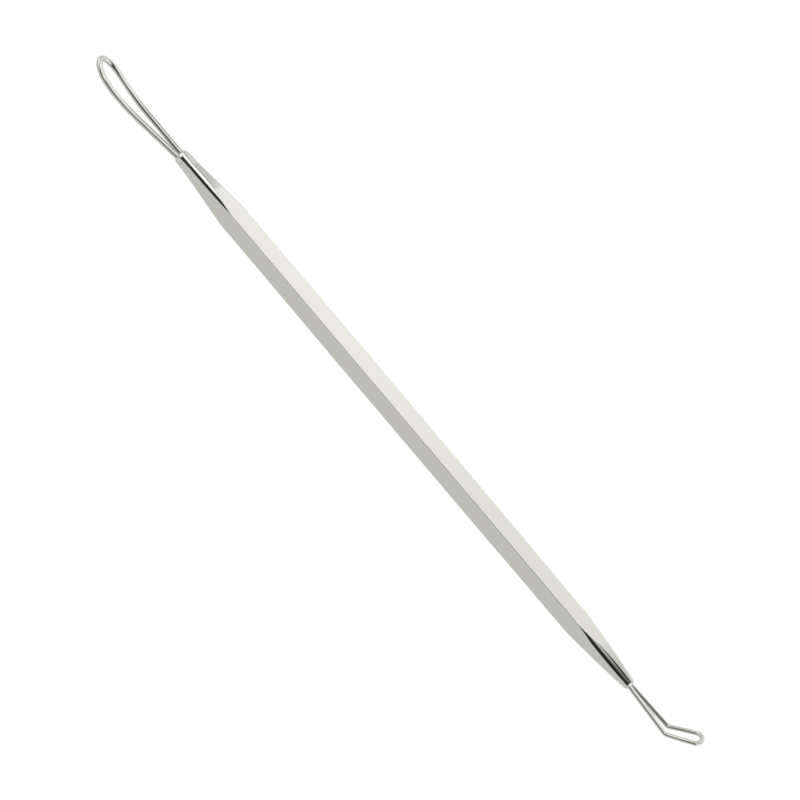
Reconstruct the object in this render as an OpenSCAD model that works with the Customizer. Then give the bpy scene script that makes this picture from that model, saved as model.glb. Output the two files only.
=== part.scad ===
// Double-ended comedone extractor. A square bar handle is drawn down to a round nose at each end.
// A long wire loop, gently curved like a spoon, is brazed into one nose.
// A short wire loop, bent up at an angle, is brazed into the other.
// The bar lies along X on one of its flats, with the origin in the middle of that flat.

/* [Handle] */
// Length of the handle between the faces of its two noses
handle_len = 97.6; // [84:0.1:130]
// Width of the square bar across its flats, along its parallel middle
bar_w = 3; // [2.9:0.1:4]
// Width across the flats where the noses begin, so that the bar swells a little towards its middle
bar_end_w = 2.9; // [2.8:0.05:4]
// Length of the parallel middle, which the instrument rests on
bar_mid_len = 30; // [20:1:50]
// Width of the narrow land left along each long edge, where the corner is broken
edge_land = 0.05; // [0.03:0.01:0.2]
// Width of the flat rim round the mouth of each bore
rim_land = 0.06; // [0.03:0.01:0.08]
// Length of the bevel that runs from that rim to the taper
rim_bevel = 0.3; // [0.1:0.01:0.4]

/* [Nose of the long loop] */
// Length over which the corners are turned down
long_nose_len = 11; // [8:0.1:16]
// Length of the slender neck behind the rim
long_neck_len = 2.3; // [1:0.1:4]
// How far the round corners stand outside the bore at the nose face
long_corner = 0.165; // [0.1:0.005:0.3]
// How much the round corners rise along the neck
long_neck_round = 0.09; // [0.02:0.005:0.15]
// Length over which the front and bottom flats are ground down
long_flat_len = 11; // [7:0.1:16]
// Wall between the bore and those flats
long_wall = 0.06; // [0.05:0.01:0.15]
// Length over which the back and top flats are ground down, less steadily
long_short_flat_len = 6.8; // [5:0.1:16]
// Wall between the bore and those flats at the nose face
long_thick_wall = 0.13; // [0.05:0.01:0.15]
// How much those flats rise along the neck
long_neck_flat = 0.05; // [0.02:0.005:0.1]
// How far all four flats are full at the middle of their taper, against a straight one
long_flat_full = 0.05; // [0:0.01:0.07]

/* [Nose of the angled loop] */
// Length over which the corners are turned down
angled_nose_len = 12.3; // [8:0.1:16]
// How far the round corners stand outside the bore at the nose face
angled_corner = 0.135; // [0.1:0.005:0.3]
// How far the turned taper is full at its middle, against a straight cone
angled_full = 0.09; // [0:0.005:0.12]
// Length over which the front and bottom flats are ground down
angled_flat_len = 8.5; // [7:0.1:16]
// Length over which the back and top flats are ground down
angled_short_flat_len = 7.5; // [5:0.1:16]
// Wall between the bore and the flats at the nose face
angled_wall = 0.12; // [0.08:0.01:0.25]
// How far the flats are full at the middle of their taper, against a straight one
angled_flat_full = 0.07; // [0:0.01:0.15]

/* [Long loop] */
// Diameter of the wire
long_wire_d = 0.88; // [0.6:0.01:0.95]
// Length from the nose face to the far end, along the loop
long_loop_len = 17.5; // [15:0.1:24]
// Width over the outside of the wire where the loop is widest
long_loop_w = 3.8; // [2.8:0.05:4.5]
// Length of the rounded end
long_end_len = 3.1; // [1.5:0.1:5]
// Angle at which the legs lean down as they leave the nose
long_lean = 4.3; // [0:0.1:6]
// Distance from the nose to where the loop starts to curve up
long_curve_from = 7.2; // [5:0.1:9]
// Radius of that curve
long_curve_r = 27; // [20:1:60]
// Turn of the loop about the handle's axis, away from the top flat
long_turn = 0; // [-5:1:15]
// How far the legs lie below the middle of their bore
long_seat = 0.18; // [0:0.01:0.2]

/* [Angled loop] */
// Diameter of the wire
angled_wire_d = 0.68; // [0.5:0.01:0.75]
// Distance from the nose face to the middle of the bend
angled_bend_at = 8.4; // [7:0.1:10]
// Angle of the bend
angled_bend = 41; // [20:1:60]
// Radius of the bend at the middle of the wire
angled_bend_r = 0.9; // [0.6:0.05:1.5]
// Length from the nose face to the far end, along the loop
angled_loop_len = 14; // [13:0.1:18]
// Width over the outside of the wire where the loop is widest
angled_loop_w = 3.54; // [3:0.01:4]
// Length of the rounded end
angled_end_len = 1; // [0.8:0.1:2]
// Angle at which the legs lean down as they leave the nose
angled_lean = 1.3; // [0:0.1:4]
// Turn of the loop about the handle's axis, towards the back
angled_turn = 19; // [0:1:30]

/* [Joint between wire and handle] */
// Depth of the straight part of each bore
bore_depth = 6; // [4:0.5:8]
// Gap between the two legs of a loop where they lie side by side
leg_gap = 0.02; // [0.01:0.01:0.05]
// Gap between the legs and the wall of the bore, filled with braze
braze_gap = 0.02; // [0.01:0.01:0.05]
// Length by which the legs stop short of the drill point
leg_back = 0.3; // [0.1:0.1:1]
// Height of the braze that stands out of the bore round the legs
braze_crown = 0.1; // [0.05:0.01:0.2]

/* [Hidden] */
$fn = 64;

steel_colour = [0.80, 0.80, 0.78];
wire_colour = [0.74, 0.74, 0.73];
braze_colour = [0.66, 0.66, 0.63];

taper_steps = 6;      // facets along a taper that is hollow or full
wire_sides = 16;      // facets round a wire
ring_step = 0.8;      // distance between rings along a straight wire
bend_step = 6;        // angle between rings round a bend
end_rings = 12;       // rings round a quarter of the rounded end
shoulder = 0.2;       // share of the spreading legs that eases them parallel
drill_point = 118;    // angle of the drill that made the bores
overcut = 0.5;        // length by which a cutting tool passes a face

// The corner of a square of a width, cut back until its land is edge_land wide, sets the turned radius.
function edge_r(width) = norm([edge_land / 2, width / sqrt(2) - edge_land / 2]);

function leg_y(wire_d) = (wire_d + leg_gap) / 2;
function bore_r(wire_d, seat) = norm([leg_y(wire_d), seat]) + wire_d / 2 + braze_gap;

long_bore_r = bore_r(long_wire_d, long_seat);
angled_bore_r = bore_r(angled_wire_d, 0);
long_round_r = long_bore_r + long_corner;
angled_round_r = angled_bore_r + angled_corner;

// Half width at a share t of a taper, from its small end to its large one. bulge is its fullness.
function taper(t, small, large, bulge) = small + (large - small) * t + 4 * bulge * t * (1 - t);
function steps(bulge) = bulge == 0 ? 1 : taper_steps;

// Points [distance from the nose face, half width] of a taper between two distances.
function taper_points(from, to, small, large, bulge) =
    [for (i = [0:steps(bulge)]) let (t = i / steps(bulge))
        [from + (to - from) * t, taper(t, small, large, bulge)]];

// The outline of a nose's start: the rim round the bore, then its bevel up to a line from small on.
function rim_points(bore, small, slope) = [[0, bore + rim_land], [rim_bevel, small + slope * rim_bevel]];

// An outline's upper edge, from the end of the long loop to the end of the angled one. mid_half is the
// half width of the bar's parallel stretch.
function upper_edge(long_end, angled_end, mid_half) = concat(
    [for (p = long_end) [p.x - handle_len / 2, p.y]],
    [[-bar_mid_len / 2, mid_half], [bar_mid_len / 2, mid_half]],
    [for (i = [len(angled_end) - 1:-1:0]) [handle_len / 2 - angled_end[i].x, angled_end[i].y]]);

// The front and bottom flats of each nose, and its back and top ones.
long_front = concat([[0, long_bore_r + long_wall]],
    taper_points(long_neck_len, long_flat_len, long_bore_r + long_wall, bar_end_w / 2,
        long_flat_full));
long_back = concat([[0, long_bore_r + long_thick_wall]],
    taper_points(long_neck_len, long_short_flat_len, long_bore_r + long_thick_wall + long_neck_flat,
        bar_end_w / 2, long_flat_full));
angled_front = taper_points(0, angled_flat_len, angled_bore_r + angled_wall, bar_end_w / 2,
    angled_flat_full);
angled_back = taper_points(0, angled_short_flat_len, angled_bore_r + angled_wall, bar_end_w / 2,
    angled_flat_full);

front_edge = upper_edge(long_front, angled_front, bar_w / 2);
back_edge = upper_edge(long_back, angled_back, bar_w / 2);

angled_taper = taper_points(0, angled_nose_len, angled_round_r, edge_r(bar_end_w), angled_full);

turned_edge = upper_edge(
    concat(rim_points(long_bore_r, long_round_r, long_neck_round / long_neck_len),
        taper_points(long_neck_len, long_nose_len, long_round_r + long_neck_round, edge_r(bar_end_w), 0)),
    concat(rim_points(angled_bore_r, angled_round_r,
        (angled_taper[1].y - angled_taper[0].y) / angled_taper[1].x),
        [for (i = [1:len(angled_taper) - 1]) angled_taper[i]]),
    edge_r(bar_w));

// The front and back flats of the bar with their tapers, as a plate that stands out past the corners.
module flat_pair() {
    front = [for (i = [len(front_edge) - 1:-1:0]) [front_edge[i].x, -front_edge[i].y]];
    linear_extrude(height = 2 * bar_w, center = true)
        polygon(concat(back_edge, front));
}

// The turned form that rounds the corners and the noses.
module turned_form() {
    axis_ends = [[0, handle_len / 2], [0, -handle_len / 2]];
    rotate([0, 90, 0])
        rotate_extrude()
            polygon(concat([for (p = turned_edge) [p.y, p.x]], axis_ends));
}

// A bore along X that opens at the origin, with the cone of the drill at its bottom.
module bore(r, mouth) {
    rotate([0, -90, 0]) {
        translate([0, 0, -mouth])
            cylinder(r = r, h = bore_depth + mouth);
        translate([0, 0, bore_depth])
            cylinder(r1 = r, r2 = 0, h = r / tan(drill_point / 2));
    }
}

// Frames at the two nose faces: X points out of the handle and Y spans the legs of the loop.
module at_long_end() {
    translate([-handle_len / 2, 0, bar_w / 2])
        rotate([long_turn, 0, 0])
            rotate([0, 0, 180])
                children();
}

module at_angled_end() {
    translate([handle_len / 2, 0, bar_w / 2])
        rotate([-angled_turn, 0, 0])
            children();
}

// Heading in degrees of a loop's middle line at a distance u. shape is [lean, from, radius, bend].
function heading(u, shape) =
    shape[0] + max(0, min(shape[3], (u - shape[1]) / shape[2] * 180 / PI));

// Point of that line: straight along its lean, round the bend, then straight again.
function middle(u, shape) =
    let (lean = shape[0], from = shape[1], r = shape[2], h = heading(u, shape))
    let (past = u - from - r * shape[3] * PI / 180)
    min(u, from) * [cos(lean), 0, sin(lean)]
        + r * [sin(h) - sin(lean), 0, cos(lean) - cos(h)]
        + max(0, past) * [cos(h), 0, sin(h)];

// Share of the full spread that the legs have at a share t of the way, easing in at the end.
function spread(t) =
    let (k = 1 / (1 - shoulder / 2))
    t < 1 - shoulder ? k * t : t < 1 ? 1 - k * pow(1 - t, 2) / (2 * shoulder) : 1;

// Its slope.
function spread_slope(t) =
    let (k = 1 / (1 - shoulder / 2))
    t < 1 - shoulder ? k : t < 1 ? k * (1 - t) / shoulder : 0;

// Distances of the rings from a to b, without a itself.
function stations(a, b, step) =
    b - a < 0.01 ? [] : let (n = ceil((b - a) / step)) [for (i = [1:n]) a + (b - a) * i / n];

// Half of a loop in its own flattened surface: [distance, half width, tangent along, tangent across].
// The legs spread up to the rounded end.
function half_loop(legs, reach, half_w, end_len, shape, narrow) =
    let (end_from = reach - end_len)
    let (bend_end = min(shape[1] + shape[2] * shape[3] * PI / 180, end_from))
    let (u_list = concat([0.2], stations(0.2, shape[1], ring_step),
        stations(shape[1], bend_end, min(ring_step, shape[2] * bend_step * PI / 180)),
        stations(bend_end, end_from, ring_step)))
    concat(
        [[-legs, narrow, 1, 0], [0, narrow, 1, 0]],
        [for (u = u_list) let (t = u / end_from) let (rise = half_w - narrow)
            [u, narrow + rise * spread(t), 1, rise / end_from * spread_slope(t)]],
        [for (i = [1:end_rings]) let (a = 90 * i / end_rings)
            [end_from + end_len * sin(a), half_w * cos(a), end_len * cos(a), -half_w * sin(a)]]);

// The whole loop: the half up to the far end, and its mirror image back down the other leg.
function whole_loop(half) = concat(
    half,
    [for (i = [len(half) - 2:-1:0]) let (s = half[i]) [s[0], -s[1], -s[2], s[3]]]);

// The ring of points round the wire at one station.
function ring(s, shape, wire_d) =
    let (h = s[0] > 0 ? heading(s[0], shape) : 0)
    let (centre = (s[0] > 0 ? middle(s[0], shape) : [s[0], 0, 0]) + [0, s[1], 0])
    let (up = [-sin(h), 0, cos(h)])
    let (along = s[2] * [cos(h), 0, sin(h)] + s[3] * [0, 1, 0])
    let (side = cross(up, along / norm(along)))
    [for (j = [0:wire_sides - 1]) let (a = 360 * j / wire_sides)
        centre + wire_d / 2 * (cos(a) * side + sin(a) * up)];

// A closed tube through the rings of a loop.
module wire(stations, shape, wire_d) {
    n = wire_sides;
    last = len(stations) - 1;
    points = [for (s = stations) each ring(s, shape, wire_d)];
    walls = [for (k = [0:last - 1]) for (j = [0:n - 1]) let (next = (j + 1) % n)
        [k * n + j, (k + 1) * n + j, (k + 1) * n + next, k * n + next]];
    start_cap = [for (j = [0:n - 1]) j];
    end_cap = [for (j = [n - 1:-1:0]) last * n + j];
    polyhedron(points, concat([start_cap], walls, [end_cap]), convexity = 6);
}

// The braze that fills a bore round the two legs and stands a little out of its mouth.
module braze(r, wire_d, seat) {
    difference() {
        union() {
            bore(r, 0);
            rotate([0, 90, 0])
                cylinder(r1 = r, r2 = r - braze_crown / 2, h = braze_crown);
        }
        for (side = [-1, 1])
            translate([leg_back - bore_depth, side * leg_y(wire_d), -seat])
                rotate([0, 90, 0])
                    cylinder(d = wire_d, h = bore_depth + overcut);
    }
}

module handle() {
    color(steel_colour)
        difference() {
            translate([0, 0, bar_w / 2])
                intersection() {
                    flat_pair();
                    rotate([90, 0, 0])
                        flat_pair();
                    turned_form();
                }
            at_long_end()
                bore(long_bore_r, overcut);
            at_angled_end()
                bore(angled_bore_r, overcut);
        }
}

module long_loop() {
    reach = long_loop_len - braze_crown - long_wire_d / 2;
    curve = (reach - long_curve_from) / long_curve_r * 180 / PI;
    shape = [-long_lean, long_curve_from, long_curve_r, curve];
    half = half_loop(bore_depth - leg_back + braze_crown, reach, (long_loop_w - long_wire_d) / 2,
        long_end_len, shape, leg_y(long_wire_d));
    color(wire_colour)
        at_long_end()
            translate([braze_crown, 0, -long_seat])
                wire(whole_loop(half), shape, long_wire_d);
}

module angled_loop() {
    reach = angled_loop_len - braze_crown - angled_wire_d / 2;
    bend_from = angled_bend_at - angled_bend_r * tan(angled_bend / 2);
    shape = [-angled_lean, bend_from, angled_bend_r, angled_bend];
    half = half_loop(bore_depth - leg_back + braze_crown, reach, (angled_loop_w - angled_wire_d) / 2,
        angled_end_len, shape, leg_y(angled_wire_d));
    color(wire_colour)
        at_angled_end()
            translate([braze_crown, 0, 0])
                wire(whole_loop(half), shape, angled_wire_d);
}

module long_loop_braze() {
    color(braze_colour)
        at_long_end()
            braze(long_bore_r, long_wire_d, long_seat);
}

module angled_loop_braze() {
    color(braze_colour)
        at_angled_end()
            braze(angled_bore_r, angled_wire_d, 0);
}

handle();
long_loop();
angled_loop();
long_loop_braze();
angled_loop_braze();
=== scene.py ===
"""Looks of a double-ended comedone extractor: a square steel bar with a wire loop brazed into each end.

The part's own frame is used throughout: X runs along the bar from the long loop to the angled one,
Z is up, and the origin is the middle of the flat that the bar rests on. Shapes are worked out in
millimetres and written to the meshes in metres.
"""

import logging
import math
from dataclasses import dataclass
from enum import Enum

import bpy
import numpy as np
from mathutils import Matrix, Vector


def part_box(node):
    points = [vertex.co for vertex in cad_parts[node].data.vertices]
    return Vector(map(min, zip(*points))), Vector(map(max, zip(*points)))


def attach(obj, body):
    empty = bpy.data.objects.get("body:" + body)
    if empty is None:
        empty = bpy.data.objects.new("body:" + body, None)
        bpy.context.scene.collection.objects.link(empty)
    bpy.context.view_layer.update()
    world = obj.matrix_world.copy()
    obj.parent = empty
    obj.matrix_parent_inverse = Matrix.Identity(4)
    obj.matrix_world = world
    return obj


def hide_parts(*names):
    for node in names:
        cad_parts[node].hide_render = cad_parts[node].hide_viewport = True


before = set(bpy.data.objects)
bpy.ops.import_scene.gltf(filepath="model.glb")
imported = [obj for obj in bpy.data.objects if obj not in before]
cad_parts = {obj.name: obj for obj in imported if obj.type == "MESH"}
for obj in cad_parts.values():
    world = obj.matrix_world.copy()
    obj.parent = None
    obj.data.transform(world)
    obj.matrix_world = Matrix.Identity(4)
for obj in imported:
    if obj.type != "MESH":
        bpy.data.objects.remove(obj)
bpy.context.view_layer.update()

MM = 0.001
log = logging.getLogger("comedone_extractor")


def linear(hex_colour: str) -> tuple[float, float, float, float]:
    """Turn an sRGB hex colour into Blender's linear colour.

    Args:
        hex_colour: Six hex digits, with or without a leading hash.

    Returns:
        Linear red, green, blue and an alpha of 1.
    """
    digits = hex_colour.lstrip("#")
    srgb = np.array([int(digits[i:i + 2], 16) for i in (0, 2, 4)]) / 255
    values = np.where(srgb <= 0.04045, srgb / 12.92, ((srgb + 0.055) / 1.055) ** 2.4)
    return (*values.tolist(), 1.0)


def add_node(tree: bpy.types.NodeTree, kind: str, values: dict[str | int, object] | None = None,
             links: dict[str | int, bpy.types.NodeSocket] | None = None,
             **settings: object) -> bpy.types.Node:
    """Add one shader node with its settings, socket values and links.

    Args:
        tree: The node tree that gets the node.
        kind: The node's type name, such as "ShaderNodeMath".
        values: Input names or numbers with the values that they keep.
        links: Input names or numbers with the output sockets that feed them.
        **settings: Properties of the node itself, such as its operation.

    Returns:
        The new node.
    """
    node = tree.nodes.new(kind)
    for name, value in settings.items():
        setattr(node, name, value)
    for socket, value in (values or {}).items():
        node.inputs[socket].default_value = value
    for socket, source in (links or {}).items():
        tree.links.new(source, node.inputs[socket])
    return node


def fresh_tree(owner: bpy.types.Material | bpy.types.World) -> bpy.types.NodeTree:
    """Switch a material or world to nodes and empty its tree.

    Args:
        owner: The material or world.

    Returns:
        Its empty node tree.
    """
    owner.use_nodes = True
    owner.node_tree.nodes.clear()
    return owner.node_tree


class Slot(Enum):
    """The record's material slots."""

    HANDLE = "handle_steel"
    WIRE = "wire_steel"
    BRAZE = "braze"


class Coordinates(Enum):
    """Where a finish reads its pattern from."""

    OBJECT = "Object"
    UV = "UV"


@dataclass(frozen=True)
class SteelFinish:
    """Ground and buffed stainless steel, a metal that takes its look from what it mirrors.

    Fine grinding lines run along the piece and leave the gloss a little uneven, so that a reflection
    stays sharp but not mirror clean. Faint smears from buffing change the gloss over several
    millimetres.

    Attributes:
        name: The material's name.
        colour: Reflection colour at normal incidence, as sRGB hex.
        roughness: Mean roughness of the buffed surface.
        line_mm: Spacing of the grinding lines. Real ones are about 0.02 mm apart, too fine to show,
            so they are drawn coarser.
        line_length: How many times longer a grinding line is than it is wide.
        line_depth: Bump distance of the lines in millimetres.
        smear_mm: Size of the buffing smears.
        coordinates: Where the pattern is read from.
        line_strength: Strength of the lines' bump.
        line_share: Share of the grinding lines in the gloss, beside one of 1 for the smears.
        smear_length: How many times longer a smear is than it is wide.
        gloss: Roughness where the pattern is lowest and highest, as shares of the mean.
    """

    name: str
    colour: str
    roughness: float
    line_mm: float
    line_length: float
    line_depth: float
    smear_mm: float
    coordinates: Coordinates
    line_strength: float = 0.35
    line_share: float = 0.5
    smear_length: float = 3.0
    gloss: tuple[float, float] = (0.75, 1.3)

    def streaks(self, tree: bpy.types.NodeTree, place: bpy.types.NodeSocket, width_mm: float,
                length: float, **noise: float) -> bpy.types.NodeSocket:
        """Noise drawn out along the piece.

        Args:
            tree: The material's tree.
            place: Socket with the coordinates, in metres for Object and in millimetres for UV.
            width_mm: Width of a streak.
            length: How many times longer a streak is than it is wide.
            **noise: Inputs of the noise.

        Returns:
            Socket with the noise, from 0 to 1.
        """
        unit = 1 / (width_mm * (MM if self.coordinates is Coordinates.OBJECT else 1))
        drawn = add_node(tree, "ShaderNodeMapping", {"Scale": (unit / length, unit, unit)},
                         {"Vector": place})
        return add_node(tree, "ShaderNodeTexNoise", {"Scale": 1.0, **noise},
                        {"Vector": drawn.outputs["Vector"]}).outputs["Fac"]

    def build(self) -> bpy.types.Material:
        """Make the material.

        Returns:
            The new material.
        """
        material = bpy.data.materials.new(self.name)
        tree = fresh_tree(material)
        place = add_node(tree, "ShaderNodeTexCoord").outputs[self.coordinates.value]
        lines = self.streaks(tree, place, self.line_mm, self.line_length, Detail=3.0, Roughness=0.6)
        smears = self.streaks(tree, place, self.smear_mm, self.smear_length, Detail=2.0)
        pattern = add_node(tree, "ShaderNodeMath", {1: self.line_share}, {0: lines, 2: smears},
                           operation="MULTIPLY_ADD")
        smooth, rough = self.gloss
        gloss = add_node(tree, "ShaderNodeMapRange",
                         {"From Min": 0.5, "From Max": 1.0, "To Min": self.roughness * smooth,
                          "To Max": self.roughness * rough}, {"Value": pattern.outputs[0]})
        bump = add_node(tree, "ShaderNodeBump",
                        {"Strength": self.line_strength, "Distance": self.line_depth * MM},
                        {"Height": lines})
        shader = add_node(tree, "ShaderNodeBsdfPrincipled",
                          {"Base Color": linear(self.colour), "Metallic": 1.0},
                          {"Roughness": gloss.outputs["Result"], "Normal": bump.outputs["Normal"]})
        add_node(tree, "ShaderNodeOutputMaterial", links={"Surface": shader.outputs["BSDF"]})
        return material


@dataclass(frozen=True)
class BrazeFinish:
    """Silver braze under a thin plating.

    It wets the wires and cools with a slightly pitted skin, so that its reflections are softer and
    more broken than the steel's.

    Attributes:
        name: The material's name.
        colour: Reflection colour at normal incidence, as sRGB hex.
        roughness: Mean roughness.
        pit_mm: Size of the pits.
        pit_depth: Bump distance of the pits in millimetres.
        pit_strength: Strength of the pits' bump.
        gloss: Roughness where the skin is lowest and highest, as shares of the mean.
    """

    name: str = "plated_silver_braze"
    colour: str = "B4B3AE"
    roughness: float = 0.22
    pit_mm: float = 0.12
    pit_depth: float = 0.01
    pit_strength: float = 0.5
    gloss: tuple[float, float] = (0.7, 1.5)

    def build(self) -> bpy.types.Material:
        """Make the material.

        Returns:
            The new material.
        """
        material = bpy.data.materials.new(self.name)
        tree = fresh_tree(material)
        place = add_node(tree, "ShaderNodeTexCoord").outputs["Object"]
        pits = add_node(tree, "ShaderNodeTexNoise", {"Scale": 1 / (self.pit_mm * MM), "Detail": 4.0},
                        {"Vector": place})
        smooth, rough = self.gloss
        gloss = add_node(tree, "ShaderNodeMapRange",
                         {"To Min": self.roughness * smooth, "To Max": self.roughness * rough},
                         {"Value": pits.outputs["Fac"]})
        bump = add_node(tree, "ShaderNodeBump",
                        {"Strength": self.pit_strength, "Distance": self.pit_depth * MM},
                        {"Height": pits.outputs["Fac"]})
        shader = add_node(tree, "ShaderNodeBsdfPrincipled",
                          {"Base Color": linear(self.colour), "Metallic": 1.0},
                          {"Roughness": gloss.outputs["Result"], "Normal": bump.outputs["Normal"]})
        add_node(tree, "ShaderNodeOutputMaterial", links={"Surface": shader.outputs["BSDF"]})
        return material


def tube_mesh(name: str, rings: np.ndarray, around_mm: float = 0.0) -> bpy.types.Mesh:
    """Make a closed mesh from rings of points, with a fan over each end.

    Face (i, j) joins points j and j + 1 of rings i and i + 1. The rings turn so that the faces
    point outwards. A UV map holds the distance along the middle line and round the ring.

    Args:
        name: The mesh's name.
        rings: Points in millimetres, of shape (rings, points round, 3).
        around_mm: Length of a ring for the UV map.

    Returns:
        The new mesh, smooth shaded.
    """
    count, sides = rings.shape[:2]
    index = np.arange(count * sides).reshape(count, sides)
    following = np.roll(index, -1, axis=1)
    quads = np.stack([index[:-1], following[:-1], following[1:], index[1:]], axis=-1).reshape(-1, 4)
    first, last = count * sides, count * sides + 1
    start = np.stack([following[0], index[0], np.full(sides, first)], axis=-1)
    end = np.stack([index[-1], following[-1], np.full(sides, last)], axis=-1)
    centres = rings.mean(axis=1)
    points = np.concatenate([rings.reshape(-1, 3), centres[:1], centres[-1:]]) * MM
    mesh = bpy.data.meshes.new(name)
    mesh.from_pydata(points.tolist(), [], quads.tolist() + start.tolist() + end.tolist())
    mesh.polygons.foreach_set("use_smooth", np.ones(len(mesh.polygons), bool))
    steps = np.linalg.norm(np.diff(centres, axis=0), axis=1)
    along = np.concatenate([[0.0], np.cumsum(steps)])
    u = np.repeat(along, sides)
    v = np.tile(np.arange(sides) / sides * around_mm, count)
    uv_points = np.stack([np.concatenate([u, along[:1], along[-1:]]), np.concatenate([v, [0, 0]])], 1)
    corners = np.empty(len(mesh.loops), np.int32)
    mesh.loops.foreach_get("vertex_index", corners)
    layer = mesh.uv_layers.new(name="along_and_round")
    layer.data.foreach_set("uv", uv_points[corners].ravel())
    mesh.validate()
    return mesh


def place_piece(mesh: bpy.types.Mesh, material: bpy.types.Material,
                node: str) -> bpy.types.Object:
    """Put a finished mesh in the scene as the piece that stands for a node.

    Args:
        mesh: The mesh, in the part's frame.
        material: Its material.
        node: The node that the piece replaces.

    Returns:
        The new object.
    """
    piece = bpy.data.objects.new(mesh.name, mesh)
    bpy.context.scene.collection.objects.link(piece)
    mesh.materials.append(material)
    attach(piece, "root")
    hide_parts(node)
    return piece


def smooth_min(p: np.ndarray, q: np.ndarray, width: np.ndarray) -> np.ndarray:
    """The smaller of two lengths, with the corner between them rounded.

    Where they differ by less than width, a parabola joins them: the smaller one less
    (width - difference) squared over four times width.

    Args:
        p: First lengths.
        q: Second lengths.
        width: Differences over which the corner is rounded.

    Returns:
        The rounded smaller lengths.
    """
    near = np.clip(width - np.abs(p - q), 0, None)
    return np.minimum(p, q) - near ** 2 / (4 * width)


@dataclass(frozen=True)
class Taper:
    """A line that starts level or rises along a slender neck, then tapers up to the bar.

    All lengths are in millimetres.

    Attributes:
        length: Distance from the nose face to the taper's end.
        stand: How far the line stands outside the bore at the face.
        full: Fullness of the taper at its middle.
        neck_len: Length of the neck.
        rise: Rise along the neck.
    """

    length: float
    stand: float
    full: float = 0.0
    neck_len: float = 0.0
    rise: float = 0.0

    def half(self, depth: np.ndarray, bore_r: float, large: float) -> np.ndarray:
        """Half width at a depth from the face: the neck's straight line, then a line plus a parabola.

        Args:
            depth: Distances from the nose face.
            bore_r: Radius of the bore.
            large: Half width at the taper's end.

        Returns:
            Half widths.
        """
        small = bore_r + self.stand + self.rise
        t = np.clip((depth - self.neck_len) / (self.length - self.neck_len), 0, 1)
        neck = small - self.rise * np.clip(1 - depth / max(self.neck_len, 1e-6), 0, 1)
        return neck + (large - small) * t + 4 * self.full * t * (1 - t)


@dataclass(frozen=True)
class Nose:
    """The tapered end of the handle round one pair of wire legs. All lengths are in millimetres.

    Attributes:
        wire_d: Diameter of the wire in the bore.
        seat: How far the legs lie below the middle of the bore.
        turned: The turned corners.
        front: The flats at the front and at the bottom.
        back: The flats at the back and on top.
        leg_gap: Gap between the two legs.
        braze_gap: Gap between the legs and the bore's wall, filled with braze.
        rim_land: Width of the flat rim round the bore's mouth.
        rim_bevel: Length of the bevel behind the rim.
    """

    wire_d: float
    seat: float
    turned: Taper
    front: Taper
    back: Taper
    leg_gap: float = 0.02
    braze_gap: float = 0.02
    rim_land: float = 0.06
    rim_bevel: float = 0.3

    @property
    def bore_r(self) -> float:
        """Radius of the bore that holds both legs."""
        return math.hypot((self.wire_d + self.leg_gap) / 2, self.seat) + self.wire_d / 2 + self.braze_gap

    def turned_half(self, depth: np.ndarray, large: float) -> np.ndarray:
        """Radius of the turned form at a depth from the face, with the bevel at the rim.

        Args:
            depth: Distances from the nose face.
            large: Radius that the bar's long edges are turned to.

        Returns:
            Radii.
        """
        form = self.turned.half(depth, self.bore_r, large)
        behind_bevel = self.turned.half(np.array([self.rim_bevel]), self.bore_r, large)[0]
        rim = self.bore_r + self.rim_land
        bevel = rim + (behind_bevel - rim) * np.clip(depth / self.rim_bevel, 0, 1)
        return np.where(depth < self.rim_bevel, bevel, form)


LONG_NOSE = Nose(
    wire_d=0.88, seat=0.18,
    turned=Taper(length=11.0, stand=0.165, neck_len=2.3, rise=0.09),
    front=Taper(length=11.0, stand=0.06, full=0.05, neck_len=2.3),
    back=Taper(length=6.8, stand=0.13, full=0.05, neck_len=2.3, rise=0.05))
ANGLED_NOSE = Nose(
    wire_d=0.68, seat=0.0,
    turned=Taper(length=12.3, stand=0.135, full=0.09),
    front=Taper(length=8.5, stand=0.12, full=0.07),
    back=Taper(length=7.5, stand=0.12, full=0.07))


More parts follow.
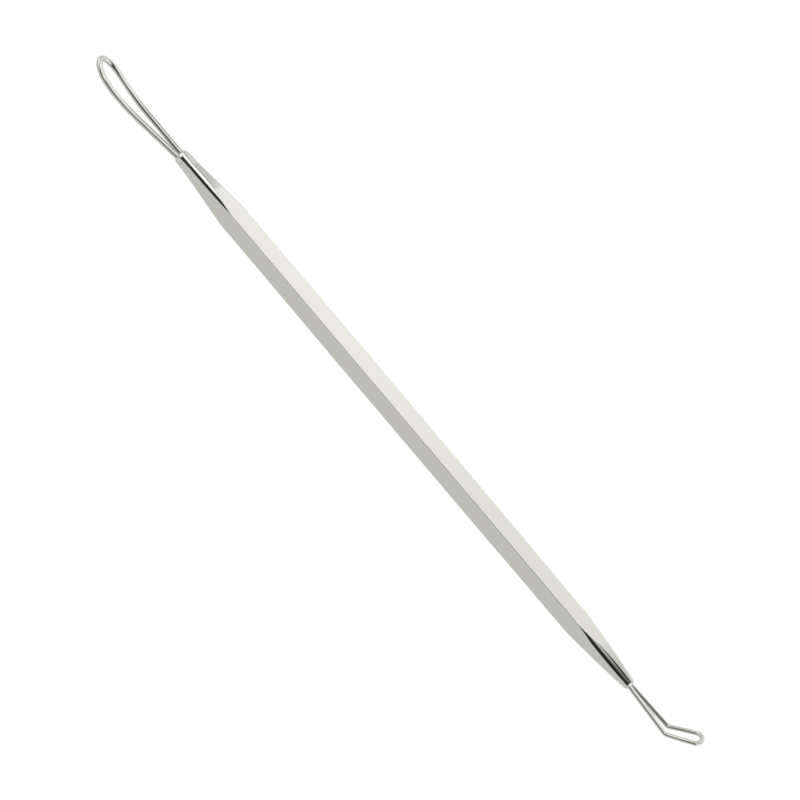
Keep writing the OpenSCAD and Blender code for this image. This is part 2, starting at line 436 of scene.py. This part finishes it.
@dataclass(frozen=True)
class Handle:
    """The square bar with a nose and a blind bore at each end. All lengths are in millimetres.

    Attributes:
        length: Length between the nose faces.
        width: Width across the flats along the parallel middle.
        end_width: Width across the flats where the noses begin.
        mid_len: Length of the parallel middle.
        edge_land: Width of the broken corner along each long edge.
        bore_depth: Depth of the bores.
        edge_round: Rounding of the long edges at the noses and along the bar, as a difference of radii.
        round_from: Distances from a nose face between which the rounding grows.
        flat_points: Points of the outline from the middle of a flat to the turned corner.
        corner_points: Half the points round a turned corner.
        drill_point: Length of the bores' drill points, as a share of the bore's radius.
    """

    length: float
    width: float
    end_width: float = 2.9
    mid_len: float = 30.0
    edge_land: float = 0.03
    bore_depth: float = 6.0
    edge_round: tuple[float, float] = (0.04, 0.14)
    round_from: tuple[float, float] = (9.0, 14.0)
    flat_points: int = 9
    corner_points: int = 9
    drill_point: float = 0.55

    def edge_r(self, width: float) -> float:
        """Radius of the broken long edges about the bar's axis, for a width across the flats."""
        return math.hypot(self.edge_land / 2, width / math.sqrt(2) - self.edge_land / 2)

    def swell(self, depth: np.ndarray, taper_len: float, end: float, mid: float) -> np.ndarray:
        """Size of the bar beyond a nose: a straight line from its end up to the parallel middle.

        Args:
            depth: Distances from the nearer nose face.
            taper_len: Where the nose ends.
            end: Size there.
            mid: Size along the parallel middle.

        Returns:
            Sizes, which stay at the end's size over the nose.
        """
        parallel_from = (self.length - self.mid_len) / 2
        return end + (mid - end) * np.clip((depth - taper_len) / (parallel_from - taper_len), 0, 1)

    def stations(self) -> np.ndarray:
        """Places along the bar, closer together at the noses and closest at the rims.

        Returns:
            Depths from the left face to the right one.
        """
        nose_step, bar_step, bar_from = 0.15, 1.0, 14.0
        rim_and_bevel = np.array([0.0, 0.03, 0.08, 0.18, 0.27, 0.31, 0.36])
        nose = np.arange(0.5, 13.6, nose_step)
        ends = np.concatenate([rim_and_bevel, nose])
        middle = np.arange(bar_from, self.length - bar_from + 0.1, bar_step)
        return np.concatenate([ends, middle, self.length - ends[::-1]])

    def halves(self, depth: np.ndarray) -> tuple[np.ndarray, np.ndarray, np.ndarray]:
        """Sizes of the bar at depths from the left face.

        Args:
            depth: Distances from the left face.

        Returns:
            Half widths to the front and bottom flats, those to the back and top ones, and the turned
            radii.
        """
        left = depth < self.length / 2
        near = np.where(left, depth, self.length - depth)
        flat_end, round_end = self.end_width / 2, self.edge_r(self.end_width)
        fronts, backs, rounds = [], [], []
        for nose in (LONG_NOSE, ANGLED_NOSE):
            for flat, found in ((nose.front, fronts), (nose.back, backs)):
                swell = self.swell(near, flat.length, flat_end, self.width / 2)
                found.append(flat.half(near, nose.bore_r, flat_end) + swell - flat_end)
            swell = self.swell(near, nose.turned.length, round_end, self.edge_r(self.width))
            rounds.append(nose.turned_half(near, round_end) + swell - round_end)
        return np.where(left, *fronts), np.where(left, *backs), np.where(left, *rounds)

    def corner(self, one: np.ndarray, other: np.ndarray, turned: np.ndarray,
               rounding: np.ndarray) -> tuple[np.ndarray, np.ndarray]:
        """Quarter of the outline, from the middle of one flat round the corner to the next flat.

        At an angle from a flat's middle, the outline's radius is the smaller of the flat's, which is
        its half width over the cosine, and the turned form's. The points crowd where the two meet:
        over the flats by a power, and round the turned corner by a line less part of a sine wave.

        Args:
            one: Half widths to the flat that the quarter starts on.
            other: Half widths to the flat that it ends on, its middle left out.
            turned: Radii of the turned form.
            rounding: Rounding of the edges.

        Returns:
            Angles from the first flat's middle and radii, of shape (stations, points).
        """
        narrowest, widest = math.radians(6), math.radians(43.4)
        meet = np.clip(np.arccos(np.clip(one / turned, -1, 1)), narrowest, widest)[:, None]
        leave = np.clip(np.arccos(np.clip(other / turned, -1, 1)), narrowest, widest)[:, None]
        flat_power, corner_wave = 2.2, 0.6
        ease = 1 - (1 - np.linspace(0, 1, self.flat_points)) ** flat_power
        across = np.linspace(0, 1, 2 * self.corner_points)[1:-1]
        crowd = across - np.sin(2 * math.pi * across) / (2 * math.pi) * corner_wave
        angle = np.concatenate([ease * meet, meet + (math.pi / 2 - leave - meet) * crowd,
                                math.pi / 2 - (ease * leave)[:, :0:-1]], axis=1)
        first = smooth_min(one[:, None] / np.cos(angle), turned[:, None], rounding[:, None])
        return angle, smooth_min(other[:, None] / np.sin(angle).clip(1e-6), first, rounding[:, None])

    def outer_rings(self) -> np.ndarray:
        """Outline of the bar at each station, from the back flat over the top and round.

        Returns:
            Points of shape (stations, points round, 3).
        """
        depth = self.stations()
        front, back, turned = self.halves(depth)
        rounding = np.interp(np.minimum(depth, self.length - depth), self.round_from, self.edge_round)
        quarters = [self.corner(one, other, turned, rounding)
                    for one, other in ((back, back), (back, front), (front, front), (front, back))]
        angle = np.concatenate([quarter[0] + k * math.pi / 2 for k, quarter in enumerate(quarters)], axis=1)
        radius = np.concatenate([quarter[1] for quarter in quarters], axis=1)
        x = np.repeat((depth - self.length / 2)[:, None], angle.shape[1], axis=1)
        y = radius * np.cos(angle)
        z = radius * np.sin(angle) + self.width / 2
        return np.stack([x, y, z], axis=-1)

    def bore_rings(self, nose: Nose, side: int, angles: np.ndarray) -> np.ndarray:
        """Rings of one bore from its mouth inwards, down to the tip of its drill point.

        Args:
            nose: The nose that it is in.
            side: -1 at the long loop's end and 1 at the angled loop's.
            angles: Angles of the points round, as in the outer rings at that end.

        Returns:
            Points of shape (rings, points round, 3), mouth first.
        """
        tip_depth = self.bore_depth + nose.bore_r * self.drill_point
        tip_share = 0.05
        inset = np.array([0.0, 0.05, 0.5, self.bore_depth, tip_depth])
        radius = np.array([1.0, 1.0, 1.0, 1.0, tip_share]) * nose.bore_r
        x = np.repeat((side * (self.length / 2 - inset))[:, None], len(angles), axis=1)
        y = radius[:, None] * np.cos(angles)
        z = radius[:, None] * np.sin(angles) + self.width / 2
        return np.stack([x, y, z], axis=-1)

    def build(self, material: bpy.types.Material) -> bpy.types.Object:
        """Make the handle as one closed skin, from one bore's bottom over the bar to the other's.

        Args:
            material: The bar's finish.

        Returns:
            The finished piece.
        """
        outer = self.outer_rings()
        first = np.arctan2(outer[0, :, 2] - self.width / 2, outer[0, :, 1])
        last = np.arctan2(outer[-1, :, 2] - self.width / 2, outer[-1, :, 1])
        left = self.bore_rings(LONG_NOSE, -1, first)[::-1]
        right = self.bore_rings(ANGLED_NOSE, 1, last)
        rings = np.concatenate([left, outer, right])
        return place_piece(tube_mesh("handle_bar", rings), material, "handle")


@dataclass(frozen=True)
class WireLoop:
    """A wire bent into a loop, with both legs in one bore. All lengths are in millimetres.

    The loop is flat across and its middle line bends in the other direction. Distances u run along
    the middle line from a point just outside the nose face.

    Attributes:
        name: Name of the piece.
        node: The node that it stands for.
        nose: The nose that holds it.
        side: -1 at the long loop's end and 1 at the angled loop's.
        length: From the nose face to the far end, along the loop.
        width: Over the outside of the wire where the loop is widest.
        end_len: Length of the rounded end.
        lean: Angle in degrees at which the legs rise from the axis.
        curve_from: Where the middle line starts to curve up.
        curve_r: Radius of the curve.
        curve_angle: Angle of the curve in degrees, or None to curve up to the far end.
        turn: Turn of the loop about the bar's axis in degrees.
        axis_z: Height of the bar's axis.
        face_x: Distance of the nose face from the bar's middle.
        crown: How far outside the nose face the distances start: the height of the solids' braze.
        leg_depth: How deep the legs reach into the bore.
        shoulder: Share of the way to the rounded end over which the legs ease parallel.
        inside: Share of the wire's radius that keeps its fine skin within the solids' coarser one.
        sides: Points round the wire.
    """

    name: str
    node: str
    nose: Nose
    side: int
    length: float
    width: float
    end_len: float
    lean: float
    curve_from: float
    curve_r: float
    curve_angle: float | None
    turn: float
    axis_z: float
    face_x: float
    crown: float = 0.1
    leg_depth: float = 5.7
    shoulder: float = 0.2
    inside: float = 0.99
    sides: int = 40

    @property
    def reach(self) -> float:
        """Length of the middle line up to the wire's middle at the far end."""
        return self.length - self.crown - self.nose.wire_d / 2

    @property
    def bend(self) -> float:
        """Angle of the curve in radians."""
        whole_way = (self.reach - self.curve_from) / self.curve_r
        return whole_way if self.curve_angle is None else math.radians(self.curve_angle)

    def heading(self, u: np.ndarray) -> np.ndarray:
        """Direction of the middle line: its lean, plus the curve passed so far."""
        turned = np.clip((u - self.curve_from) / self.curve_r, 0, self.bend)
        return np.where(u > 0, math.radians(self.lean) + turned, 0.0)

    def middle(self, u: np.ndarray) -> np.ndarray:
        """Points of the middle line: straight at its lean, round an arc, then straight again.

        Args:
            u: Distances along the line; those below 0 lie in the bore.

        Returns:
            Points of shape (n, 2): along the bar's axis and up.
        """
        lean = math.radians(self.lean)
        h = self.heading(np.maximum(u, 1e-9))
        straight = np.minimum(u, self.curve_from)[:, None] * np.array([math.cos(lean), math.sin(lean)])
        arc = self.curve_r * np.stack([np.sin(h) - math.sin(lean), math.cos(lean) - np.cos(h)], axis=1)
        past = np.maximum(u - self.curve_from - self.curve_r * self.bend, 0)[:, None]
        beyond = past * np.stack([np.cos(h), np.sin(h)], axis=1)
        in_bore = np.stack([u, np.zeros_like(u)], axis=1)
        return np.where(u[:, None] > 0, straight + arc + beyond, in_bore)

    def half_path(self) -> tuple[np.ndarray, np.ndarray, np.ndarray, np.ndarray]:
        """Half of the loop in its own flattened surface, from a leg's end to the far end.

        The legs spread in a straight line up to the rounded end and ease parallel over the last share
        of the way, along a parabola. The end is a quarter of an ellipse.

        Returns:
            Distances u, half widths w, and the direction of travel in u and in w.
        """
        narrow = (self.nose.wire_d + self.nose.leg_gap) / 2
        wide = (self.width - self.nose.wire_d) / 2
        end_from = self.reach - self.end_len
        near_turn = 0.12  # Rings stand this close to the place where the legs turn to their lean
        legs = np.array([-self.leg_depth - self.crown, -1.0, -near_turn, 0.0])
        bend_end = min(self.curve_from + self.curve_r * self.bend, end_from)
        bend_rings = np.linspace(self.curve_from, bend_end, 26)
        u = np.unique(np.concatenate([np.linspace(near_turn, end_from, 90), bend_rings]))
        passed = u / end_from
        ahead = np.clip(1 - passed, 0, 1)
        steepness = 1 / (1 - self.shoulder / 2)
        eased = 1 - steepness * ahead ** 2 / (2 * self.shoulder)
        spread = np.where(passed < 1 - self.shoulder, steepness * passed, eased)
        slope = (wide - narrow) / end_from * steepness * np.minimum(ahead / self.shoulder, 1)
        a = np.linspace(0, math.pi / 2, 40)[1:]
        return (np.concatenate([legs, u, end_from + self.end_len * np.sin(a)]),
                np.concatenate([np.full(len(legs), narrow), narrow + (wide - narrow) * spread,
                                wide * np.cos(a)]),
                np.concatenate([np.ones(len(legs) + len(u)), self.end_len * np.cos(a)]),
                np.concatenate([np.zeros(len(legs)), slope, -wide * np.sin(a)]))

    def rings(self) -> np.ndarray:
        """Rings of points round the whole wire, out along one leg and back down the other.

        Each ring lies across the wire: its points are the wire's middle plus the radius times the
        cosine of the angle to the side and its sine along the loop's own normal.

        Returns:
            Points of shape (rings, sides, 3) in the part's frame.
        """
        out_u, out_w, out_du, out_dw = self.half_path()
        back = slice(-2, None, -1)
        u = np.concatenate([out_u, out_u[back]])
        w = np.concatenate([out_w, -out_w[back]])
        du = np.concatenate([out_du, -out_du[back]])
        dw = np.concatenate([out_dw, out_dw[back]])
        h = self.heading(u)
        line = self.middle(u)
        centre = np.stack([line[:, 0], w, line[:, 1]], axis=1)
        up = np.stack([-np.sin(h), np.zeros_like(h), np.cos(h)], axis=1)
        forward = np.stack([np.cos(h), np.zeros_like(h), np.sin(h)], axis=1)
        along = du[:, None] * forward + dw[:, None] * np.array([0.0, 1.0, 0.0])
        along /= np.linalg.norm(along, axis=1)[:, None]
        across = np.cross(up, along)
        a = np.arange(self.sides) / self.sides * 2 * math.pi
        ring = np.cos(a)[None, :, None] * across[:, None] + np.sin(a)[None, :, None] * up[:, None]
        return self.placed(centre[:, None] + self.inside * self.nose.wire_d / 2 * ring)

    def placed(self, local: np.ndarray) -> np.ndarray:
        """Move points from the loop's own frame at the braze to the part's frame.

        Args:
            local: Points with X out of the nose, Y across the loop and Z up from it.

        Returns:
            The same points in the part's frame.
        """
        x = self.side * (local[..., 0] + self.face_x + self.crown)
        y = self.side * local[..., 1]
        z = local[..., 2] - self.nose.seat
        turn = math.radians(self.turn)
        return np.stack([x, y * math.cos(turn) - z * math.sin(turn),
                         y * math.sin(turn) + z * math.cos(turn) + self.axis_z], axis=-1)

    def build(self, material: bpy.types.Material) -> bpy.types.Object:
        """Make the wire.

        Args:
            material: The wire's finish.

        Returns:
            The finished piece.
        """
        mesh = tube_mesh(self.name, self.rings(), math.pi * self.nose.wire_d)
        return place_piece(mesh, material, self.node)


@dataclass(frozen=True)
class Braze:
    """The braze in one bore, with a low dome that stands out of the mouth round the legs.

    Attributes:
        name: Name of the piece.
        node: The node that it stands for.
        loop: The loop that it holds.
        bulge: How far the dome stands out of the bore, in millimetres.
        depth: How far the piece reaches into the bore, in millimetres. The solids' braze fills the
            whole bore, where nothing shows it.
        sides: Points round the piece.
    """

    name: str
    node: str
    loop: WireLoop
    bulge: float
    depth: float = 2.0
    sides: int = 48

    def build(self, material: bpy.types.Material) -> bpy.types.Object:
        """Make the braze: a plug in the bore with a domed face.

        The dome is half an ellipsoid: its height over the mouth is the bulge times the root of one
        less the square of the distance from the axis, as a share of the bore's radius.

        Args:
            material: The braze's finish.

        Returns:
            The finished piece.
        """
        r, pole = self.loop.nose.bore_r, 0.02
        share = np.sin(np.linspace(pole, math.pi / 2, 16))
        dome = np.stack([self.bulge * np.sqrt(1 - share ** 2), share * r], axis=1)
        shaft = np.array([[-0.2, r], [-self.depth, r], [-self.depth, pole * r]])
        profile = np.concatenate([dome, shaft])[::-1]
        a = np.arange(self.sides) / self.sides * 2 * math.pi
        local = np.stack([np.repeat(profile[:, :1] - self.loop.crown, self.sides, axis=1),
                          profile[:, 1:] * np.cos(a),
                          profile[:, 1:] * np.sin(a) + self.loop.nose.seat], axis=-1)
        return place_piece(tube_mesh(self.name, self.loop.placed(local)), material, self.node)


@dataclass(frozen=True)
class PhotoCamera:
    """The camera of the photograph: close to the bar, square to its ridge, with the bar on a diagonal.

    Attributes:
        distance_mm: Distance from the point that it looks at.
        frame_mm: Width of the camera's frame.
        focal_mm: Focal length.
        aim_mm: Point that the camera looks at, along the bar and across it in the picture.
        slope_deg: How far the bar drops to the right in the picture.
        swing_deg: How far the right end lies away from the camera.
        elevation_deg: Height of the camera above the horizon.
    """

    distance_mm: float = 300.0
    frame_mm: float = 36.0
    focal_mm: float = 96.5
    aim_mm: tuple[float, float] = (-3.30, 1.27)
    slope_deg: float = 49.75
    swing_deg: float = 5.1
    elevation_deg: float = 45.0

    def build(self, axis_z_mm: float) -> bpy.types.Object:
        """Make the camera and set it as the scene's.

        Args:
            axis_z_mm: Height of the bar's axis.

        Returns:
            The camera.
        """
        rise, swing = math.radians(self.elevation_deg), math.radians(self.swing_deg)
        across = Vector((0, math.sin(rise), math.cos(rise)))
        out = Vector((0, -math.cos(rise), math.sin(rise)))
        along = Vector((1, 0, 0))
        back = -math.sin(swing) * along + math.cos(swing) * out
        right = math.cos(swing) * along + math.sin(swing) * out
        aim_mm = Vector((0, 0, axis_z_mm)) + right * self.aim_mm[0] + across * self.aim_mm[1]
        roll = math.radians(self.slope_deg)
        picture_x = math.cos(roll) * right + math.sin(roll) * across
        picture_y = -math.sin(roll) * right + math.cos(roll) * across
        data = bpy.data.cameras.new("photo_camera")
        data.sensor_width = self.frame_mm
        data.lens = self.focal_mm
        data.clip_start = 0.01
        data.clip_end = 20.0
        camera = bpy.data.objects.new("photo_camera", data)
        bpy.context.scene.collection.objects.link(camera)
        turned = Matrix((picture_x, picture_y, back)).transposed().to_4x4()
        camera.matrix_world = Matrix.Translation((aim_mm + back * self.distance_mm) * MM) @ turned
        bpy.context.scene.camera = camera
        return camera


@dataclass(frozen=True)
class LightZone:
    """Light for the directions that lean towards one end of the bar, or nearly along it.

    Attributes:
        lean_from: X part of a direction at which the zone begins.
        lean_at: X part at which it has replaced the light before it.
        stops: Angle and strength pairs.
        both_ends: Whether the zone lies at both ends, so that the X part counts without its sign.
    """

    lean_from: float
    lean_at: float
    stops: tuple[tuple[float, float], ...]
    both_ends: bool = False


@dataclass(frozen=True)
class Studio:
    """White table and a surrounding of soft light that the steel mirrors.

    The light round the bar is given by an angle in degrees in the plane across the bar: 0 is towards
    the photograph's camera, 90 the side above the bar's right face in the picture, and -90 the table.
    A soft box runs along the bar above the camera and dark cloth hangs below the lens. Towards the
    bar's ends the cloth covers part of the box too. How far a piece of steel leans along the bar
    sets which part of these surroundings it mirrors, so the comment on each zone names the pieces
    that show it in the photograph.

    Attributes:
        centre: Angle and strength pairs for directions square to the bar, which its middle mirrors.
        zones: Light that takes over towards the ends, each zone mixed over the one before.
        brightest: Strength of the light that a colour ramp's white stands for.
        backdrop_deg: Angles away from the camera between which the light turns to the white backdrop.
        table_glow: Strength of the table's own light, which shows as white.
        table_colour: Colour of that light, as sRGB hex.
        table_matt: Colour of the table's dull surface, which takes the tool's shadow.
        table_mm: Width of the table.
        table_drop_mm: How far the table lies below the bar, so that the two don't share a plane.
    """

    centre: tuple[tuple[float, float], ...] = (
        (-180, 0.95), (-62, 0.95), (-50, 0.15), (-12, 0.15), (0, 1.3), (8, 1.6), (62, 1.6),
        (90, 1.64), (105, 1.6), (135, 1.5), (180, 1.0))
    zones: tuple[LightZone, ...] = (
        # The bar's left end and the long loop
        LightZone(-0.03, -0.10, (
            (-180, 0.95), (-62, 0.95), (-50, 0.20), (-20, 0.20), (0, 1.2), (15, 1.5), (46, 1.5),
            (62, 1.2), (74, 0.9), (90, 1.20), (135, 1.20), (180, 1.0))),
        # The left nose: the edge of the dark cloth gives its long dark strip
        LightZone(-0.09, -0.125, (
            (-180, 0.95), (-62, 0.95), (-50, 0.06), (12, 0.03), (19, 1.9), (50, 1.9), (58, 0.5),
            (72, 0.55), (90, 1.05), (135, 1.10), (180, 1.0))),
        # The angled loop past its bend
        LightZone(-0.31, -0.37, (
            (-180, 0.95), (-62, 0.95), (-45, 0.7), (-20, 0.6), (0, 0.9), (60, 0.9), (90, 1.0),
            (110, 1.2), (135, 1.1))),
        # The bar's right end and the angled loop's left leg
        LightZone(0.06, 0.18, (
            (-180, 0.95), (-42, 0.95), (-32, 0.03), (14, 0.03), (24, 1.5), (62, 1.6), (90, 1.44),
            (105, 1.8), (135, 1.6), (180, 1.0))),
        # The angled loop's right leg and the right nose next to the bar
        LightZone(0.28, 0.36, (
            (-180, 0.95), (-62, 0.95), (-50, 0.05), (0, 0.03), (8, 0.2), (15, 0.95), (29, 0.95),
            (36, 0.04), (74, 0.04), (82, 1.10), (100, 1.10), (135, 1.6))),
        # The right nose next to its face: a thin dull strip between two dark ones
        LightZone(0.41, 0.46, (
            (-180, 0.95), (-62, 0.95), (-50, 0.03), (0, 0.03), (12, 0.35), (30, 0.35), (36, 0.04),
            (56, 0.04), (75, 0.9), (90, 1.10), (135, 1.3))),
        # The rims and the braze at both nose faces
        LightZone(0.60, 0.68, (
            (-180, 0.95), (-75, 0.95), (-60, 0.1), (-36, 0.1), (-24, 1.9), (60, 1.9), (75, 1.2),
            (135, 1.1)), both_ends=True))
    brightest: float = 2.0
    backdrop_deg: tuple[float, float] = (115.0, 150.0)
    table_glow: float = 0.975
    table_colour: str = "FFFFFF"
    table_matt: str = "3F3F3F"
    table_mm: float = 3000.0
    table_drop_mm: float = 0.02

    def ramp(self, tree: bpy.types.NodeTree, turn_share: bpy.types.NodeSocket,
             stops: tuple[tuple[float, float], ...]) -> bpy.types.NodeSocket:
        """Strength of the light against the angle, as one colour ramp.

        Args:
            tree: The world's tree.
            turn_share: Socket with the angle as a share of a full turn from -180 degrees.
            stops: Angle and strength pairs.

        Returns:
            Socket with the strength, as a share of the brightest.
        """
        node = add_node(tree, "ShaderNodeValToRGB", links={"Fac": turn_share})
        elements = node.color_ramp.elements
        while len(elements) > 1:
            elements.remove(elements[-1])
        for i, (degrees, strength) in enumerate(stops):
            place = (degrees + 180) / 360
            stop = elements[0] if i == 0 else elements.new(place)
            stop.position = place
            grey = strength / self.brightest
            stop.color = (grey, grey, grey, 1)
        return node.outputs["Color"]

    def angle(self, tree: bpy.types.NodeTree, direction: bpy.types.NodeSocket,
              elevation_deg: float) -> bpy.types.NodeSocket:
        """Angle of a direction in the plane across the bar, by its parts across and towards the camera.

        Args:
            tree: The world's tree.
            direction: Socket with the direction that a ray leaves in.
            elevation_deg: Height of the photograph's camera above the horizon.

        Returns:
            Socket with the angle in radians, 0 towards the camera.
        """
        rise = math.radians(elevation_deg)
        across = add_node(tree, "ShaderNodeVectorMath", {1: (0, math.sin(rise), math.cos(rise))},
                          {0: direction}, operation="DOT_PRODUCT")
        ahead = add_node(tree, "ShaderNodeVectorMath", {1: (0, -math.cos(rise), math.sin(rise))},
                         {0: direction}, operation="DOT_PRODUCT")
        return add_node(tree, "ShaderNodeMath",
                        links={0: across.outputs["Value"], 1: ahead.outputs["Value"]},
                        operation="ARCTAN2").outputs[0]

    def soft_light(self, tree: bpy.types.NodeTree, direction: bpy.types.NodeSocket,
                   angle: bpy.types.NodeSocket) -> bpy.types.NodeSocket:
        """Light of the studio: the centre's, with each zone mixed over it in turn.

        Args:
            tree: The world's tree.
            direction: Socket with the direction that a ray leaves in.
            angle: Socket with its angle in the plane across the bar, in radians.

        Returns:
            Socket with the strength, as a share of the brightest.
        """
        turn = add_node(tree, "ShaderNodeMapRange", {"From Min": -math.pi, "From Max": math.pi},
                        {"Value": angle})
        turn_share = turn.outputs["Result"]
        lean = add_node(tree, "ShaderNodeSeparateXYZ", links={"Vector": direction}).outputs["X"]
        either_lean = add_node(tree, "ShaderNodeMath", links={0: lean}, operation="ABSOLUTE").outputs[0]
        light = self.ramp(tree, turn_share, self.centre)
        # The Mix node's colours are its inputs 6 and 7 and its output 2
        for zone in self.zones:
            reach = add_node(tree, "ShaderNodeMapRange",
                             {"From Min": zone.lean_from, "From Max": zone.lean_at},
                             {"Value": either_lean if zone.both_ends else lean},
                             interpolation_type="SMOOTHSTEP")
            mixed = add_node(tree, "ShaderNodeMix",
                             links={0: reach.outputs["Result"], 6: light,
                                    7: self.ramp(tree, turn_share, zone.stops)},
                             data_type="RGBA")
            light = mixed.outputs[2]
        return light

    def build_world(self, elevation_deg: float) -> None:
        """Make the world: the studio on the camera's side and a white backdrop behind the tool.

        The camera sees white all round. Metal and glass see that white where the backdrop is, and the
        studio's soft light and dark on the camera's side.

        Args:
            elevation_deg: Height of the photograph's camera above the horizon.
        """
        world = bpy.data.worlds.new("soft_studio")
        bpy.context.scene.world = world
        tree = fresh_tree(world)
        direction = add_node(tree, "ShaderNodeTexCoord").outputs["Generated"]
        angle = self.angle(tree, direction, elevation_deg)
        studio = add_node(tree, "ShaderNodeBackground", {"Strength": self.brightest},
                          {"Color": self.soft_light(tree, direction, angle)})
        white = add_node(tree, "ShaderNodeBackground", {"Color": linear("FFFFFF"), "Strength": 1.0})
        ray = add_node(tree, "ShaderNodeLightPath")
        mirrored = add_node(tree, "ShaderNodeMath",
                            links={0: ray.outputs["Is Glossy Ray"], 1: ray.outputs["Is Transmission Ray"]},
                            operation="MAXIMUM")
        away = add_node(tree, "ShaderNodeMath", links={0: angle}, operation="ABSOLUTE")
        backdrop_from, backdrop_at = (math.radians(degrees) for degrees in self.backdrop_deg)
        backdrop = add_node(tree, "ShaderNodeMapRange",
                            {"From Min": backdrop_from, "From Max": backdrop_at},
                            {"Value": away.outputs[0]}, interpolation_type="SMOOTHSTEP")
        whiteness = add_node(tree, "ShaderNodeMath",
                             links={0: mirrored.outputs[0], 1: backdrop.outputs["Result"],
                                    2: ray.outputs["Is Camera Ray"]},
                             operation="MULTIPLY_ADD", use_clamp=True)
        shown = add_node(tree, "ShaderNodeMixShader",
                         links={0: whiteness.outputs[0], 1: studio.outputs[0], 2: white.outputs[0]})
        add_node(tree, "ShaderNodeOutputWorld", links={"Surface": shown.outputs[0]})

    def build_table(self) -> bpy.types.Object:
        """Make the white table: a sheet of opal acrylic over lamps.

        It glows evenly and looks plain white, and its matt surface still takes a soft shadow.

        Returns:
            The table.
        """
        half, z = self.table_mm / 2 * MM, -self.table_drop_mm * MM
        mesh = bpy.data.meshes.new("light_table")
        mesh.from_pydata([(-half, -half, z), (half, -half, z), (half, half, z), (-half, half, z)],
                         [], [(0, 1, 2, 3)])
        material = bpy.data.materials.new("opal_acrylic_table")
        tree = fresh_tree(material)
        matt = add_node(tree, "ShaderNodeBsdfDiffuse", {"Color": linear(self.table_matt)})
        glow = add_node(tree, "ShaderNodeEmission",
                        {"Color": linear(self.table_colour), "Strength": self.table_glow})
        both = add_node(tree, "ShaderNodeAddShader", links={0: matt.outputs[0], 1: glow.outputs[0]})
        add_node(tree, "ShaderNodeOutputMaterial", links={"Surface": both.outputs[0]})
        mesh.materials.append(material)
        table = bpy.data.objects.new("light_table", mesh)
        bpy.context.scene.collection.objects.link(table)
        return table


@dataclass(frozen=True)
class Extractor:
    """The whole tool, built piece by piece.

    Attributes:
        handle: The bar.
        long_loop: The curved loop at the left end.
        angled_loop: The bent loop at the right end.
        long_braze: The braze that holds the long loop.
        angled_braze: The braze that holds the angled loop.
    """

    handle: Handle
    long_loop: WireLoop
    angled_loop: WireLoop
    long_braze: Braze
    angled_braze: Braze

    @classmethod
    def from_frame(cls) -> "Extractor":
        """Read the bar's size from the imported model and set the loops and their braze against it.

        Returns:
            The tool, with nothing built yet.
        """
        low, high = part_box("handle")
        length, width = (high.x - low.x) / MM, (high.z - low.z) / MM
        face_x, axis_z = length / 2, width / 2
        bend_at, bend_angle, bend_r = 8.4, 41.0, 0.9
        bend_from = bend_at - bend_r * math.tan(math.radians(bend_angle / 2))
        long_loop = WireLoop(
            name="long_loop_wire", node="long_loop", nose=LONG_NOSE, side=-1, length=17.5, width=3.8,
            end_len=3.1, lean=-4.3, curve_from=7.2, curve_r=27.0, curve_angle=None, turn=0.0,
            axis_z=axis_z, face_x=face_x)
        angled_loop = WireLoop(
            name="angled_loop_wire", node="angled_loop", nose=ANGLED_NOSE, side=1, length=14.0,
            width=3.54, end_len=1.0, lean=-1.3, curve_from=bend_from, curve_r=bend_r,
            curve_angle=bend_angle, turn=-19.0, axis_z=axis_z, face_x=face_x)
        return cls(Handle(length, width), long_loop, angled_loop,
                   Braze("long_loop_braze_skin", "long_loop_braze", long_loop, bulge=0.35),
                   Braze("angled_loop_braze_skin", "angled_loop_braze", angled_loop, bulge=0.3))

    def build(self) -> list[bpy.types.Object]:
        """Make every piece and dress it.

        Returns:
            The finished pieces.
        """
        bar_steel = SteelFinish(
            name="buffed_stainless_bar", colour="BCBBB5", roughness=0.07, line_mm=0.06,
            line_length=60, line_depth=0.002, smear_mm=4.0, coordinates=Coordinates.OBJECT).build()
        wire_steel = SteelFinish(
            name="polished_stainless_wire", colour="BAB9B4", roughness=0.17, line_mm=0.05,
            line_length=40, line_depth=0.002, smear_mm=1.5, coordinates=Coordinates.UV).build()
        braze = BrazeFinish().build()
        dressed = ((self.handle, bar_steel), (self.long_loop, wire_steel),
                   (self.angled_loop, wire_steel), (self.long_braze, braze), (self.angled_braze, braze))
        return [part.build(finish) for part, finish in dressed]


def main() -> None:
    """Build the tool, its stage and the camera."""
    logging.basicConfig(level=logging.INFO, format="%(name)s %(message)s")
    tool = Extractor.from_frame()
    for piece in tool.build():
        log.info("%s: %d faces", piece.name, len(piece.data.polygons))
    camera = PhotoCamera()
    camera.build(tool.handle.width / 2)
    studio = Studio()
    studio.build_world(camera.elevation_deg)
    studio.build_table()
    bpy.context.scene.view_settings.view_transform = "Standard"


if __name__ == "__main__":
    main()
